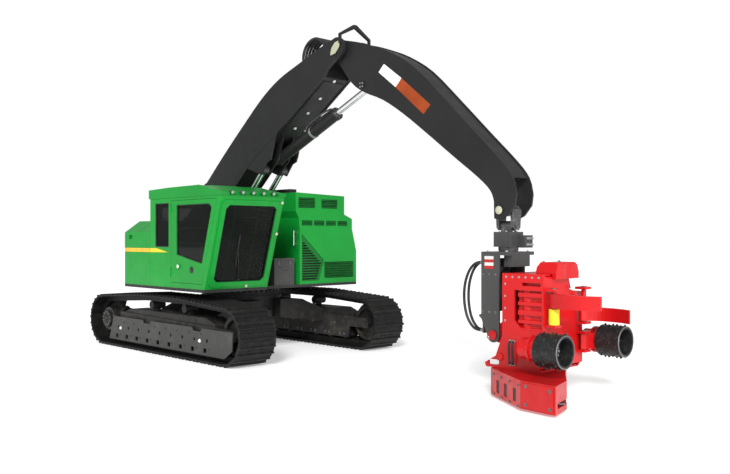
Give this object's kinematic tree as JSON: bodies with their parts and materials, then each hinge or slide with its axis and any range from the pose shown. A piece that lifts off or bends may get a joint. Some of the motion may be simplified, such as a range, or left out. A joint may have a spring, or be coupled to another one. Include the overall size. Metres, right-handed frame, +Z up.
{
  "type": "tracked forestry harvester",
  "caption": "Green and black tracked forestry harvester with a slewing cab, long boom and stick, and a red felling and delimbing head.",
  "frame": {"origin": "on the ground, under the middle of the parked machine's length and width, 2.5674 m in front of the slewing axis", "axes": "+X forwards along the boom, +Y to the machine's left, +Z up"},
  "size_m": [10.0092, 3.505, 5.25],
  "materials": {
    "tracks": "worn, matt",
    "frames": "satin",
    "rollers": "worn",
    "deck_paint": "satin",
    "green_paint": "gloss",
    "dark_green_paint": "satin",
    "black_paint": "satin",
    "red_paint": "gloss",
    "bare_steel": "dull",
    "rods": "polished",
    "hose": "matt",
    "cab_inside": "matt",
    "glazing": "clear"
  },
  "bodies": {
    "undercarriage": {"car_body": "frames", "swing_ring": "frames", "track_frame_right": "frames", "track_frame_left": "frames", "roller_guards": "frames", "track_rollers": "rollers", "end_wheels": "rollers", "track_right": "tracks", "track_left": "tracks"},
    "upper": {"deck": "deck_paint", "counterweight": "dark_green_paint", "side_box": "green_paint", "cab_shell": "green_paint", "cab_roof": "green_paint", "cab_lamps": "bare_steel", "cab_glass": "glazing", "windscreen_guard": "green_paint", "seat": "cab_inside", "console": "cab_inside", "handrails": "rods", "toolbox": "bare_steel", "hood_shell": "green_paint", "hood_grilles": "dark_green_paint", "engine": "bare_steel", "exhaust_cap": "black_paint"},
    "cab_door": {"cab_door": "green_paint", "door_glass": "glazing"},
    "hood_door": {"hood_door": "green_paint"},
    "boom": {"boom": "black_paint", "hose_arch": "black_paint", "boom_hoses": "hose"},
    "lift_barrels": {"lift_barrels": "black_paint"},
    "lift_rods": {"lift_rods": "rods"},
    "reach_barrel": {"reach_barrel": "black_paint"},
    "reach_rod": {"reach_rod": "rods"},
    "stick": {"stick": "black_paint"},
    "link": {"link": "bare_steel"},
    "knuckle": {"knuckle": "bare_steel", "rotator": "black_paint"},
    "yoke": {"yoke": "black_paint", "hose_outer": "hose", "hose_inner": "hose"},
    "tilt_barrel": {"tilt_barrel": "black_paint"},
    "tilt_rod": {"tilt_rod": "rods"},
    "head": {"head_frame": "red_paint", "saw_box": "red_paint", "top_knife": "red_paint"},
    "saw_bar": {"saw_bar": "bare_steel"},
    "feed_arm_right": {"feed_arm_right": "red_paint"},
    "feed_arm_left": {"feed_arm_left": "red_paint"},
    "feed_roller_right": {"feed_roller_right": "black_paint"},
    "feed_roller_left": {"feed_roller_left": "black_paint"},
    "knife_right": {"knife_right": "red_paint"},
    "knife_left": {"knife_left": "red_paint"}
  },
  "joints": [
    {"name": "slew", "type": "hinge", "parent": "undercarriage", "child": "upper", "pos_m": [-2.5674, 0, 1.02], "axis": [0, 0, 1], "continuous": true},
    {"name": "cab_door_swing", "type": "hinge", "parent": "upper", "child": "cab_door", "pos_m": [-2.1194, -1.74, 1.9], "axis": [0, 0, -1], "range_deg": [0, 80]},
    {"name": "hood_door_swing", "type": "hinge", "parent": "upper", "child": "hood_door", "pos_m": [-3.4314, 1.7, 1.4], "axis": [0, 0, 1], "range_deg": [0, 100]},
    {"name": "boom_lift", "type": "hinge", "parent": "upper", "child": "boom", "pos_m": [-3.8674, -0.12, 1.92], "axis": [0, -1, 0], "range_deg": [-30, 25]},
    {"name": "lift_barrel_pivot", "type": "hinge", "parent": "upper", "child": "lift_barrels", "pos_m": [-3.1174, -0.12, 1.41], "axis": [0, -1, 0], "range_deg": [-32.4, 27]},
    {"name": "lift_rod_slide", "type": "slide", "parent": "lift_barrels", "child": "lift_rods", "axis": [0.6944, 0, 0.7195], "range_m": [-0.438, 0.365]},
    {"name": "stick_fold", "type": "hinge", "parent": "boom", "child": "stick", "pos_m": [0.4726, -0.12, 4.87], "axis": [0, 1, 0], "range_deg": [-30, 44]},
    {"name": "reach_barrel_pivot", "type": "hinge", "parent": "boom", "child": "reach_barrel", "pos_m": [-1.3174, -0.12, 3.29], "axis": [0, 1, 0], "range_deg": [-1.23, 1.81]},
    {"name": "reach_rod_slide", "type": "slide", "parent": "reach_barrel", "child": "reach_rod", "axis": [0.9197, 0, 0.3927], "range_m": [-0.56, 0.382]},
    {"name": "link_swing", "type": "hinge", "parent": "stick", "child": "link", "pos_m": [3.4826, -0.12, 2.32], "axis": [0, -1, 0], "range_deg": [-60, 60]},
    {"name": "head_side_swing", "type": "hinge", "parent": "link", "child": "knuckle", "pos_m": [3.4826, -0.12, 2.13], "axis": [1, 0, 0], "range_deg": [-25, 25]},
    {"name": "rotator_turn", "type": "hinge", "parent": "knuckle", "child": "yoke", "pos_m": [3.4826, -0.12, 1.8], "axis": [0, 0, 1], "continuous": true},
    {"name": "head_tilt", "type": "hinge", "parent": "yoke", "child": "head", "pos_m": [3.4526, -0.12, 0.73], "axis": [0, 1, 0], "range_deg": [0, 90]},
    {"name": "tilt_barrel_pivot", "type": "hinge", "parent": "yoke", "child": "tilt_barrel", "pos_m": [3.4176, -0.12, 1.58], "axis": [0, 1, 0], "range_deg": [0, 4.2]},
    {"name": "tilt_rod_slide", "type": "slide", "parent": "tilt_barrel", "child": "tilt_rod", "axis": [0.3336, 0, -0.9427], "range_m": [0, 0.396]},
    {"name": "saw_swing", "type": "hinge", "parent": "head", "child": "saw_bar", "pos_m": [4.0726, -0.64, 0.12], "axis": [0, 0, 1], "range_deg": [0, 80]},
    {"name": "feed_arm_right_close", "type": "hinge", "parent": "head", "child": "feed_arm_right", "pos_m": [4.3626, -0.48, 0.676], "axis": [0, 0, 1], "range_deg": [0, 60]},
    {"name": "feed_roller_right_spin", "type": "hinge", "parent": "feed_arm_right", "child": "feed_roller_right", "pos_m": [4.5826, -0.8, 0.676], "axis": [1, 0, 0], "continuous": true},
    {"name": "knife_right_close", "type": "hinge", "parent": "head", "child": "knife_right", "pos_m": [4.3846, -0.45, 1.217], "axis": [0, 0, 1], "range_deg": [0, 50]},
    {"name": "feed_arm_left_close", "type": "hinge", "parent": "head", "child": "feed_arm_left", "pos_m": [4.3626, 0.24, 0.676], "axis": [0, 0, -1], "range_deg": [0, 60]},
    {"name": "feed_roller_left_spin", "type": "hinge", "parent": "feed_arm_left", "child": "feed_roller_left", "pos_m": [4.5826, 0.56, 0.676], "axis": [1, 0, 0], "continuous": true},
    {"name": "knife_left_close", "type": "hinge", "parent": "head", "child": "knife_left", "pos_m": [4.3846, 0.21, 1.022], "axis": [0, 0, -1], "range_deg": [0, 50]}
  ],
  "couplings": [
    {"joint": "lift_barrel_pivot", "follows": "boom_lift", "ratio": 1.0787},
    {"joint": "lift_rod_slide", "follows": "boom_lift", "m_per_rad": 0.83616},
    {"joint": "reach_barrel_pivot", "follows": "stick_fold", "ratio": 0.04095},
    {"joint": "reach_rod_slide", "follows": "stick_fold", "m_per_rad": -0.72796},
    {"joint": "tilt_barrel_pivot", "follows": "head_tilt", "ratio": 0.04654},
    {"joint": "tilt_rod_slide", "follows": "head_tilt", "m_per_rad": 0.25178}
  ]
}
